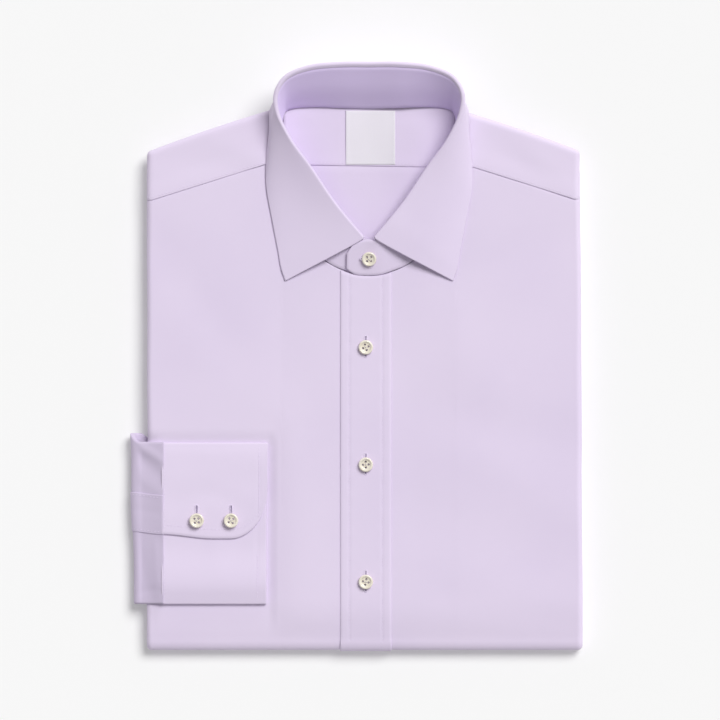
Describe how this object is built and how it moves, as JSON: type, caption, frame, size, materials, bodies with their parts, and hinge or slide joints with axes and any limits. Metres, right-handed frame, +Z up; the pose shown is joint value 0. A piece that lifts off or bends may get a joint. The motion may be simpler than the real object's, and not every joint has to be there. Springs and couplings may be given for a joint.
{
  "type": "folded long sleeve dress shirt",
  "caption": "Long sleeve dress shirt folded flat on its back, collar buttoned and standing, one cuff brought round onto the front.",
  "frame": {"origin": "on the flat underside, at the middle of the folded body", "axes": "+X to the right as seen from above, +Y towards the collar, +Z up from the surface it lies on"},
  "size_m": [0.3298, 0.4274, 0.0409],
  "materials": {
    "shirt_cloth": "smooth lilac cotton",
    "label_cloth": "woven off-white label",
    "button": "polished ivory"
  },
  "bodies": {
    "root": {"front_right": "shirt_cloth", "front_left": "shirt_cloth", "placket": "shirt_cloth", "yoke_right": "shirt_cloth", "yoke_left": "shirt_cloth", "yoke_lining": "shirt_cloth", "back": "shirt_cloth", "collar_stand": "shirt_cloth", "collar_leaf": "shirt_cloth", "sleeve_right": "shirt_cloth", "sleeve_placket": "shirt_cloth", "cuff_right": "shirt_cloth", "folded_layers": "shirt_cloth", "neck_label": "label_cloth", "cuff_button_1": "button", "cuff_button_2": "button", "front_button_1": "button", "front_button_2": "button", "front_button_3": "button", "collar_button": "button"}
  },
  "joints": []
}
